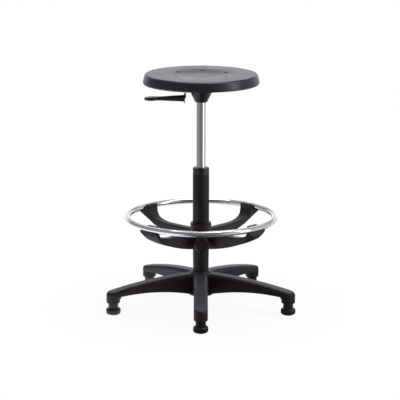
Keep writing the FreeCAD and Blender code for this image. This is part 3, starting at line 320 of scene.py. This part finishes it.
def birch_plywood(name, base):
    # Birch plywood: pale veneers about 1.4 mm thick, with darker glue lines and end grain at the edge.
    # A wave of scale 1 repeats a little over pi times in a metre.
    material, tree, shader, place = new_finish(name, base, 0.62, IOR=1.5)
    drawn_out = put(tree, "Mapping", {"Vector": place, "Scale": (1.0, 0.06, 1.0)})["Vector"]
    grain = put(tree, "TexNoise", {"Vector": drawn_out, "Scale": per_metre(2.5), "Detail": 6.0,
                                   "Roughness": FINER})["Fac"]
    plies = put(tree, "TexWave", {"Vector": place, "Scale": per_metre(1.4) / math.pi, "Distortion": 0.4},
                bands_direction="Z", wave_profile="SIN")["Fac"]
    figure = put(tree, "Mix", {"Factor": 0.45, "A": grain, "B": plies})["Result"]
    mottle(tree, shader, figure, base, shift=0.28, smoothest=0.55, roughest=0.72)
    return material


def integral_skin_foam(name, base):
    # Polyurethane foam with a moulded skin: black, satin, with a leather-like grain of small rounded cells,
    # flow streaks round the rim and a slow unevenness in its sheen.
    # The real cells are about 1 mm and are drawn at 1.8 mm so that they show.
    material, tree, shader, place = new_finish(name, base, 0.3, IOR=1.5)
    cells = put(tree, "TexVoronoi", {"Vector": place, "Scale": per_metre(1.8)},
                feature="SMOOTH_F1")["Distance"]
    drawn_out = put(tree, "Mapping", {"Vector": place, "Scale": (0.05, 0.05, 1.0)})["Vector"]
    streaks = put(tree, "TexNoise", {"Vector": drawn_out, "Scale": per_metre(3.5), "Detail": 3.0,
                                     "Roughness": FINER})["Fac"]
    slow = put(tree, "TexNoise", {"Vector": place, "Scale": per_metre(60), "Detail": 3.0,
                                  "Roughness": FINER})["Fac"]
    sheen = put(tree, "Mix", {"Factor": 0.5, "A": slow, "B": streaks})["Result"]
    skin = put(tree, "Mix", {"Factor": 0.25, "A": sheen, "B": cells})["Result"]
    mottle(tree, shader, skin, base, shift=0.2, smoothest=0.2, roughest=0.4)
    fine = put(tree, "TexNoise", {"Vector": place, "Scale": per_metre(0.9), "Roughness": FINER})["Fac"]
    leather = put(tree, "Mix", {"Factor": 0.3, "A": cells, "B": fine})["Result"]
    grain = put(tree, "Bump", {"Height": leather, "Strength": 0.7, "Distance": 0.18 * MM})["Normal"]
    tree.links.new(grain, shader.inputs["Normal"])
    return material


def dress(material, *nodes):
    """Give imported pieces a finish."""
    for name in nodes:
        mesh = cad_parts[name].data
        mesh.materials.clear()
        mesh.materials.append(material)


def numbered(name):
    """The five pieces of one kind."""
    return [f"{name}_{i}" for i in range(1, 6)]


# Seat pad

# Cells round the pad, holes, and cells from the middle of a hole to the edge of the square left open for it
SEGMENTS = 72
VENTS = 6
PATCH = 2

# Corners on the edge of that square, as steps outwards and round
LOOP = ((2, 0), (2, 1), (2, 2), (1, 2), (0, 2), (-1, 2), (-2, 2), (-2, 1),
        (-2, 0), (-2, -1), (-2, -2), (-1, -2), (0, -2), (1, -2), (2, -2), (2, -1))

# Radii in millimetres of the rings of cells on the top and under the pad, apart from those round the holes
INNER_TOP = (12, 24, 36, 48, 59)
OUTER_TOP = (112, 126, 138, 148)
INNER_UNDER = (46, 28, 12)

# Room between the foam and the board in its recess
BOARD_GAP = 0.3 * MM


def rounded(corners, steps=4):
    """Half-section points from corners (radius, height, round), with an arc at each round."""
    points = []
    for i, (r, z, round_radius) in enumerate(corners):
        here = Vector((r, z))
        if not round_radius:
            points.append(here)
            continue
        back = (Vector(corners[i - 1][:2]) - here).normalized()
        ahead = (Vector(corners[i + 1][:2]) - here).normalized()
        half = back.angle(ahead) / 2
        middle = here + (back + ahead).normalized() * (round_radius / math.sin(half))
        reach = round_radius / math.tan(half)
        start = (here + back * reach - middle).normalized()
        end = (here + ahead * reach - middle).normalized()
        points += [middle + start.slerp(end, step / steps) * round_radius for step in range(steps + 1)]
    return points


def cage(points):
    """Points of a subdivision cage whose smooth surface runs through the given ones."""
    held = points
    for _ in range(4):
        inner = [(a + b * 4 + c) / 6 for a, b, c in zip(held, held[1:], held[2:])]
        held = [h + p - q for h, p, q in zip(held, points, [held[0], *inner, held[-1]])]
    return held


def swell(count):
    """How much larger a ring of so many points is than the smooth circle it makes."""
    return 3 / (2 + math.cos(math.tau / count))


def pad_section(seat):
    """Half section of the pad, from the middle of its top over the rim to the middle of its underside.

    Also gives the first ring of the holes' cells in the top and in the underside.
    """
    top = PAD_HIGH.z
    bottom = PAD_LOW.z
    edge_half = math.atan2(top - bottom, seat.rim_lean) / 2
    radius = PAD_HIGH.x + seat.rim_bottom_round * (1 / math.tan(edge_half) - 1)
    roof = BOARD_HIGH.z + BOARD_GAP
    recess = BOARD_HIGH.x + BOARD_GAP
    pitch = seat.vent_circle * math.tau / SEGMENTS
    rings = [seat.vent_circle + step * pitch for step in range(-PATCH, PATCH + 1)]
    points = [Vector((r * MM, top)) for r in INNER_TOP]
    upper_patch = len(points)
    points += [Vector((r, top)) for r in rings]
    points += [Vector((r * MM, top)) for r in OUTER_TOP]

    lean = seat.rim_lean / (top - bottom)
    seam = bottom + seat.seam_height
    at_seam = radius - (seam - bottom) * lean
    edge = [(points[-1].x, top, 0), (radius - seat.rim_lean, top, seat.rim_top_round),
            (radius, bottom, seat.rim_bottom_round), (recess + 1.2 * MM, bottom, 0)]
    rim = rounded(edge)[1:-1]
    split = next(i for i, p in enumerate(rim) if p.y < seam)
    ridge = [Vector((at_seam + proud, seam + rise * MM))
             for proud, rise in ((0, 1.6), (0, 0.6), (seat.seam_proud, 0), (0, -0.6), (0, -1.6))]
    points += rim[:split] + ridge + rim[split:]

    corner = 1.0 * MM
    points += [Vector((recess + 12 * MM, bottom)), Vector((recess + corner, bottom)),
               Vector((recess, bottom + corner)), Vector((recess, roof - corner)),
               Vector((recess - corner, roof)), Vector((recess - 14 * MM, roof))]
    lower_patch = len(points)
    points += [Vector((r, roof)) for r in reversed(rings)]
    points += [Vector((r * MM, roof)) for r in INNER_UNDER]
    return cage(points), upper_patch, lower_patch


def smooth_mesh(name, model):
    """A smoothly shaded mesh from a finished model, with its faces turned outwards."""
    bmesh.ops.recalc_face_normals(model, faces=model.faces)
    mesh = bpy.data.meshes.new(name)
    model.to_mesh(mesh)
    model.free()
    mesh.shade_smooth()
    return mesh


def pad_mesh(seat):
    """Lathe the half section, leave a square of cells open round each hole, and line the holes."""
    section, upper_patch, lower_patch = pad_section(seat)
    top = PAD_HIGH.z
    roof = section[lower_patch].y
    wave_mm = 55
    model = bmesh.new()

    def soft(x, y, z):
        """Sink the dish and wave the skin, most at the top and not at all where the pad meets the board."""
        share = min(max((z - roof) / (top - roof), 0.0), 1.0)
        out = (math.hypot(x, y) - seat.dish_floor) / (seat.dish_radius - seat.dish_floor)
        sunk = seat.dish_depth * (1 + math.cos(math.pi * min(max(out, 0.0), 1.0))) / 2
        wave = noise.noise(Vector((x, y, z)) * per_metre(wave_mm)) * seat.unevenness
        return Vector((x, y, z + (wave - sunk) * share))

    steps = SEGMENTS // VENTS
    middles = [steps // 2 + steps * k for k in range(VENTS)]

    def in_patch(ring, segment, reach):
        """Whether a corner of the grid is nearer to the middle of a hole than reach, in cells."""
        ring_in = any(abs(ring - start - PATCH) < reach for start in (upper_patch, lower_patch))
        return ring_in and any(abs((segment - m + SEGMENTS // 2) % SEGMENTS - SEGMENTS // 2) < reach
                               for m in middles)

    grid = {}
    for ring, point in enumerate(section):
        out = point.x * swell(SEGMENTS)
        for segment in range(SEGMENTS):
            if not in_patch(ring, segment, PATCH):
                turn = math.tau * segment / SEGMENTS
                at = soft(out * math.cos(turn), out * math.sin(turn), point.y)
                grid[ring, segment] = model.verts.new(at)
    for ring in range(len(section) - 1):
        for segment in range(SEGMENTS):
            beside = (segment + 1) % SEGMENTS
            corners = [(ring, segment), (ring + 1, segment), (ring + 1, beside), (ring, beside)]
            inside = all(in_patch(r, s, PATCH + 0.5) for r, s in corners)
            if all(c in grid for c in corners) and not inside:
                model.faces.new([grid[c] for c in corners])
    for ring, z in ((0, section[0].y), (len(section) - 1, section[-1].y)):
        middle = model.verts.new(soft(0, 0, z))
        for segment in range(SEGMENTS):
            pair = [grid[ring, segment], grid[ring, (segment + 1) % SEGMENTS]]
            model.faces.new([middle, *(pair if ring == 0 else reversed(pair))])

    # Loops of a hole's lining from the top, over its rounded edge and down to the roof, as radius and height
    hole = seat.vent_radius * swell(len(LOOP))
    lining = [(hole * 1.8, top), (hole * 1.35, top), (hole * 1.12, top - 0.25 * MM), (hole, top - 1.2 * MM),
              (hole, top - 4 * MM), (hole, roof + 2 * MM), (hole, roof + 0.5 * MM), (hole * 1.1, roof),
              (hole * 1.8, roof)]
    for m in middles:
        hole_turn = math.tau * m / SEGMENTS
        outward = Vector((math.cos(hole_turn), math.sin(hole_turn), 0))
        sideways = Vector((-outward.y, outward.x, 0))
        loops = [[grid[upper_patch + PATCH + u, m + v] for u, v in LOOP]]
        for reach, z in lining:
            ring = []
            for k in range(len(LOOP)):
                turn = math.tau * k / len(LOOP)
                at = outward * (seat.vent_circle + reach * math.cos(turn))
                at += sideways * (reach * math.sin(turn))
                ring.append(model.verts.new(soft(at.x, at.y, z)))
            loops.append(ring)
        loops.append([grid[lower_patch + PATCH - u, m + v] for u, v in LOOP])
        for outer, inner in zip(loops, loops[1:]):
            for k in range(len(LOOP)):
                after = (k + 1) % len(LOOP)
                model.faces.new([outer[k], outer[after], inner[after], inner[k]])
    mesh = smooth_mesh("seat_cushion", model)
    mesh.transform(Matrix.Rotation(seat.vent_turn, 4, "Z"))
    return mesh


class STOOL_OT_seat_pad(bpy.types.Operator):
    """Make the moulded seat pad with its dish, holes and parting line"""
    bl_idname = "stool.seat_pad"
    bl_label = "Seat pad"

    def execute(self, context):
        pad = bpy.data.objects.new("seat_cushion", pad_mesh(context.scene.stool_seat))
        context.scene.collection.objects.link(pad)
        finish = context.scene.stool_finish
        pad.data.materials.append(integral_skin_foam("Polyurethane integral skin foam", finish.pad))
        smooth = pad.modifiers.new("Smooth skin", "SUBSURF")
        smooth.levels = 2
        smooth.render_levels = 2
        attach(pad, "seat")
        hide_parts("seat_pad")
        return {"FINISHED"}


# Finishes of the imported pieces

class STOOL_OT_base(bpy.types.Operator):
    """Finish the five-arm base and its glides"""
    bl_idname = "stool.base"
    bl_label = "Base and glides"

    def execute(self, context):
        finish = context.scene.stool_finish
        # The base gets a painted sheen on its faces that look up
        dress(glass_filled_nylon("Glass-filled nylon, moulded base", finish.nylon, gloss=0.32,
                                 painted_sheen=finish.painted_sheen), "star_base")
        dress(satin_plastic("Polypropylene, moulded glides", finish.plastic, gloss=0.42), *numbered("glide"))
        dress(moulded_rubber("Rubber, moulded glide pads", finish.rubber), *numbered("glide_pad"))
        dress(zinc_plate("Zinc-plated steel stems", finish.zinc), *numbered("glide_stem"))
        return {"FINISHED"}


class STOOL_OT_gas_lift(bpy.types.Operator):
    """Finish the column, the pressure tube and what is inside them"""
    bl_idname = "stool.gas_lift"
    bl_label = "Gas lift"

    def execute(self, context):
        finish = context.scene.stool_finish
        dress(powder_coat("Powder-coated steel, column", finish.powder), "column_tube")
        dress(polished_chrome("Chrome-plated steel, pressure tube", finish.chrome), "pressure_tube")
        dress(satin_plastic("Acetal, moulded bushes", finish.plastic), "guide_bush", "rod_guide")
        dress(zinc_plate("Zinc-plated steel, column parts", finish.zinc), "column_floor", "rod_clip")
        dress(ground_steel("Hardened steel, ground", finish.steel), "bearing_washer_lower",
              "bearing_washer_upper", "ball_cage", "bearing_balls", "piston_rod", "piston", "valve_body",
              "valve_pin")
        dress(moulded_rubber("Rubber, moulded bump stop", finish.rubber), "bump_stop")
        return {"FINISHED"}


class STOOL_OT_seat_mount(bpy.types.Operator):
    """Finish the cone, the plate, the board and their fixings under the seat"""
    bl_idname = "stool.seat_mount"
    bl_label = "Seat mount"

    def execute(self, context):
        finish = context.scene.stool_finish
        dress(satin_plastic("Polypropylene, moulded cone", finish.plastic, gloss=0.32), "support_cone")
        dress(powder_coat("Powder-coated steel, seat plate", finish.powder), "seat_plate")
        dress(birch_plywood("Birch plywood, sawn", finish.birch), "seat_board")
        dress(zinc_plate("Zinc-plated steel, seat fixings", finish.zinc), "seat_bolts", "seat_washers",
              "tee_nuts")
        return {"FINISHED"}


class STOOL_OT_lever(bpy.types.Operator):
    """Finish the height lever and its handle"""
    bl_idname = "stool.lever"
    bl_label = "Height lever"

    def execute(self, context):
        finish = context.scene.stool_finish
        dress(polished_polyamide("Polyamide, moulded handle", finish.handle), "lever_handle")
        dress(powder_coat("Powder-coated steel, lever", finish.powder), "release_lever")
        dress(zinc_plate("Zinc-plated steel, lever pin", finish.zinc), "lever_pin")
        return {"FINISHED"}


def ring_mesh(around=240, across=40):
    """The bent tube of the foot ring, fine enough for clean reflections."""
    tube = (RING_HIGH.z - RING_LOW.z) / 2
    bend = RING_HIGH.x - tube
    model = bmesh.new()
    rows = []
    for step in range(around):
        turn = math.tau * step / around
        row = []
        for side in range(across):
            lean = math.tau * side / across
            out = bend + tube * math.cos(lean)
            row.append(model.verts.new((out * math.cos(turn), out * math.sin(turn),
                                        RING_LOW.z + tube + tube * math.sin(lean))))
        rows.append(row)
    for row, after in zip(rows, rows[1:] + rows[:1]):
        for side in range(across):
            beside = (side + 1) % across
            model.faces.new((row[side], after[side], after[beside], row[beside]))
    return smooth_mesh("foot_ring_tube", model)


class STOOL_OT_foot_ring(bpy.types.Operator):
    """Make the chromed foot ring, and finish its spider and the sleeve on the column"""
    bl_idname = "stool.foot_ring"
    bl_label = "Foot ring"

    def execute(self, context):
        finish = context.scene.stool_finish
        ring = bpy.data.objects.new("foot_ring_tube", ring_mesh())
        context.scene.collection.objects.link(ring)
        ring.data.materials.append(polished_chrome("Chrome-plated steel, foot ring", finish.chrome))
        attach(ring, "foot_ring")
        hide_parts("foot_ring")
        dress(glass_filled_nylon("Glass-filled nylon, moulded spider", finish.spider, gloss=0.36),
              "ring_spider")
        dress(satin_plastic("Acetal, moulded liner", finish.plastic), "hub_liner")
        dress(zinc_plate("Zinc-plated steel, ring screws", finish.zinc), "ring_screws")
        return {"FINISHED"}


class STOOL_OT_clamp(bpy.types.Operator):
    """Finish the clamp that holds the foot ring on the column"""
    bl_idname = "stool.clamp"
    bl_label = "Ring clamp"

    def execute(self, context):
        finish = context.scene.stool_finish
        dress(polished_polyamide("Polyamide, moulded knob", finish.plastic), "clamp_knob")
        dress(moulded_rubber("Rubber, moulded clamp pad", finish.rubber), "clamp_pad")
        dress(zinc_plate("Zinc-plated steel, clamp stud", finish.zinc), "clamp_stud")
        dress(turned_brass("Brass, turned nut", finish.brass), "clamp_nut")
        return {"FINISHED"}


# Stage

STUDIO_TINT = linear("#f7f5ff")
FLOOR_HALF = 30.0
FLOOR_DROP = 0.2 * MM


def studio_wall(tree, direction):
    """Brightness of the studio in a direction: dim in front, paler at the sides and above, bright behind."""
    axes = put(tree, "SeparateXYZ", {"Vector": direction})
    # Each fade has what it runs along, where it starts and ends there, and its levels at both places.
    fades = {
        "left": (axes["X"], -0.35, -0.85, 0.21, 0.36),
        "right": (axes["X"], 0.35, 0.75, 0.0, 0.44),
        "above": (axes["Z"], 0.58, 0.80, 0.0, 0.42),
        "horizon": (axes["Z"], -0.02, 0.04, 0.65, 1.5),
        "behind low": (axes["Z"], 0.03, 0.43, 1.0, 0.33),
        "behind high": (axes["Z"], 0.46, 0.64, 0.0, 1.6),
        "back": (axes["Y"], 0.58, 0.9, 0.0, 1.0),
    }
    level = {}
    for name, (along, start, end, first, last) in fades.items():
        level[name] = put(tree, "MapRange", {"Value": along, "From Min": start, "From Max": end,
                                             "To Min": first, "To Max": last},
                          interpolation_type="SMOOTHSTEP")["Result"]
    sides = put(tree, "Math", {0: level["left"], 1: level["right"]}, operation="ADD")["Value"]
    around = put(tree, "Math", {0: sides, 1: level["above"]}, operation="MAXIMUM")["Value"]
    fall = put(tree, "Math", {0: level["behind low"], 1: level["behind high"]}, operation="ADD")["Value"]
    behind = put(tree, "Math", {0: level["horizon"], 1: fall}, operation="MULTIPLY")["Value"]
    return put(tree, "Mix", {"Factor": level["back"], "A": around, "B": behind})["Result"]


def make_world(scene):
    """A studio that is white to the camera, even to matt surfaces and shaped to glossy ones."""
    world = bpy.data.worlds.new("Studio")
    world.use_nodes = True
    tree = world.node_tree
    tree.nodes.clear()
    rays = put(tree, "LightPath")
    wall = studio_wall(tree, put(tree, "TexCoord")["Generated"])
    mirrored = put(tree, "Math", {0: rays["Is Glossy Ray"], 1: rays["Is Transmission Ray"]},
                   operation="MAXIMUM")["Value"]
    dim = put(tree, "Background", {"Color": (1, 1, 1, 1), "Strength": 0.45})["Background"]
    seen = put(tree, "Background", {"Color": (*STUDIO_TINT, 1), "Strength": wall})["Background"]
    white = put(tree, "Background", {"Color": (1, 1, 1, 1), "Strength": 1.0})["Background"]
    lit = put(tree, "MixShader", {"Fac": mirrored, 1: dim, 2: seen})["Shader"]
    shown = put(tree, "MixShader", {"Fac": rays["Is Camera Ray"], 1: lit, 2: white})["Shader"]
    put(tree, "OutputWorld", {"Surface": shown})
    scene.world = world


def floor_finish(pale):
    # Matt paper sweep: white with a soft shadow to the camera. To mirrors it is an emission with a painted
    # pool of light to the left, right and behind, painted shade near the stool on the right, and the dim
    # studio far off.
    # It is clear from below, so that the underside of the stool can be seen.
    material = bpy.data.materials.new("Matt paper, studio floor")
    material.use_nodes = True
    tree = material.node_tree
    tree.nodes.clear()
    rays = put(tree, "LightPath")
    place = put(tree, "TexCoord")["Object"]
    away = put(tree, "VectorMath", {0: place}, operation="LENGTH")["Value"]
    direction = put(tree, "VectorMath", {0: place}, operation="NORMALIZE")["Vector"]
    wall = studio_wall(tree, direction)
    axes = put(tree, "SeparateXYZ", {"Vector": direction})
    # Each fade has what it runs along, where it starts and ends there, and its levels at both places.
    fades = {
        "left": (axes["X"], -0.15, -0.7, 0.13, 1.4),
        "right": (axes["X"], 0.2, 0.8, 0.0, 0.9),
        "behind": (axes["Y"], 0.82, 0.97, 0.0, 0.95),
        "shade": (away, 0.45, 0.8, 0.1, 1.0),
        "far": (away, 1.3, 1.9, 0.0, 1.0),
        "shadow": (away, 0.22, 0.55, 0.08, 0.0),
    }
    level = {}
    for name, (along, start, end, first, last) in fades.items():
        level[name] = put(tree, "MapRange", {"Value": along, "From Min": start, "From Max": end,
                                             "To Min": first, "To Max": last},
                          interpolation_type="SMOOTHSTEP")["Result"]
    # Painted light that mirrors see on the floor: painted shade near the stool on the right, and a painted
    # pool of light to the left, right and behind
    right = put(tree, "Math", {0: level["shade"], 1: level["right"]}, operation="MULTIPLY")["Value"]
    sides = put(tree, "Math", {0: level["left"], 1: right}, operation="ADD")["Value"]
    painted_pool = put(tree, "Math", {0: sides, 1: level["behind"]}, operation="MAXIMUM")["Value"]
    glow = put(tree, "Mix", {"Factor": level["far"], "A": painted_pool, "B": wall})["Result"]
    paper = put(tree, "BsdfDiffuse", {"Color": (*pale, 1.0)})["BSDF"]
    white = put(tree, "Emission", {"Strength": 1.0})["Emission"]
    mirrored = put(tree, "Emission", {"Color": (*STUDIO_TINT, 1), "Strength": glow})["Emission"]
    to_camera = put(tree, "MixShader", {"Fac": level["shadow"], 1: white, 2: paper})["Shader"]
    to_mirror = put(tree, "MixShader", {"Fac": rays["Is Glossy Ray"], 1: paper, 2: mirrored})["Shader"]
    shown = put(tree, "MixShader", {"Fac": rays["Is Camera Ray"], 1: to_mirror, 2: to_camera})["Shader"]
    under = put(tree, "NewGeometry")["Backfacing"]
    clear = put(tree, "BsdfTransparent")["BSDF"]
    one_sided = put(tree, "MixShader", {"Fac": under, 1: shown, 2: clear})["Shader"]
    put(tree, "OutputMaterial", {"Surface": one_sided})
    return material


def soft_lamp(scene, name, place, aim, width, height, watts):
    """A rectangular studio lamp that faces a point and that the camera doesn't see."""
    lamp = bpy.data.lights.new(name, "AREA")
    lamp.shape = "RECTANGLE"
    lamp.size = width
    lamp.size_y = height
    lamp.energy = watts
    lamp.color = STUDIO_TINT
    holder = bpy.data.objects.new(name, lamp)
    holder.location = place
    holder.rotation_euler = (Vector(aim) - Vector(place)).to_track_quat("-Z", "Y").to_euler()
    holder.visible_camera = False
    scene.collection.objects.link(holder)


class STOOL_OT_stage(bpy.types.Operator):
    """Make the floor, the studio light and the camera"""
    bl_idname = "stool.stage"
    bl_label = "Studio stage"

    def execute(self, context):
        scene = context.scene
        stage = scene.stool_stage
        scene.view_settings.view_transform = "Standard"
        make_world(scene)
        sheet = bpy.data.meshes.new("studio_floor")
        corners = [(x * FLOOR_HALF, y * FLOOR_HALF, 0) for x, y in ((-1, -1), (1, -1), (1, 1), (-1, 1))]
        sheet.from_pydata(corners, [], [(0, 1, 2, 3)])
        sheet.materials.append(floor_finish(stage.floor))
        floor = bpy.data.objects.new("studio_floor", sheet)
        floor.location.z = -FLOOR_DROP
        scene.collection.objects.link(floor)

        key_angle = math.radians(66)
        key_distance = 1.8
        key_height = 1.1
        key = Vector((math.sin(key_angle), -math.cos(key_angle), 0)) * key_distance
        soft_lamp(scene, "Key lamp", (key.x, key.y, key_height), aim=(0, 0, key_height), width=0.5,
                  height=2.16, watts=10.5)
        soft_lamp(scene, "Top lamp", (0.2, 0.3, 3.0), aim=(0, 0, 0.4), width=2.4, height=1.2, watts=48)

        view = bpy.data.cameras.new("Photo camera")
        view.sensor_width = 36.0
        view.lens = stage.lens
        view.clip_end = 100.0
        camera = bpy.data.objects.new("Photo camera", view)
        aim = Vector(stage.camera_aim)
        back = Vector((0, -math.cos(stage.camera_elevation), math.sin(stage.camera_elevation)))
        camera.location = aim + back * stage.camera_distance
        camera.rotation_mode = "QUATERNION"
        roll = Quaternion((0, 0, 1), stage.camera_roll)
        camera.rotation_quaternion = (-back).to_track_quat("-Z", "Y") @ roll
        scene.collection.objects.link(camera)
        scene.camera = camera
        return {"FINISHED"}


# Sidebar and start

OPERATORS = (STOOL_OT_stage, STOOL_OT_base, STOOL_OT_gas_lift, STOOL_OT_seat_pad, STOOL_OT_seat_mount,
             STOOL_OT_lever, STOOL_OT_foot_ring, STOOL_OT_clamp)
SETTINGS = {"stool_seat": StoolSeatSettings, "stool_finish": StoolFinishSettings,
            "stool_stage": StoolStageSettings}


class VIEW3D_PT_stool(bpy.types.Panel):
    """Pieces and settings of the stool"""
    bl_label = "Stool"
    bl_space_type = "VIEW_3D"
    bl_region_type = "UI"
    bl_category = "Stool"

    def draw(self, context):
        for operator in OPERATORS:
            self.layout.operator(operator.bl_idname)
        for group, settings in SETTINGS.items():
            box = self.layout.box()
            for name in settings.__annotations__:
                box.prop(getattr(context.scene, group), name)


CLASSES = (*SETTINGS.values(), *OPERATORS, VIEW3D_PT_stool)


def register():
    """Add the stool's settings, operators and panel to Blender."""
    for kind in CLASSES:
        bpy.utils.register_class(kind)
    for name, settings in SETTINGS.items():
        setattr(bpy.types.Scene, name, bpy.props.PointerProperty(type=settings))


def unregister():
    """Take the stool's settings, operators and panel out of Blender."""
    for name in SETTINGS:
        delattr(bpy.types.Scene, name)
    for kind in reversed(CLASSES):
        bpy.utils.unregister_class(kind)


def main():
    """Make the stage and every piece."""
    register()
    bpy.ops.stool.stage()
    bpy.ops.stool.base()
    bpy.ops.stool.gas_lift()
    bpy.ops.stool.seat_pad()
    bpy.ops.stool.seat_mount()
    bpy.ops.stool.lever()
    bpy.ops.stool.foot_ring()
    bpy.ops.stool.clamp()


if __name__ == "__main__":
    main()
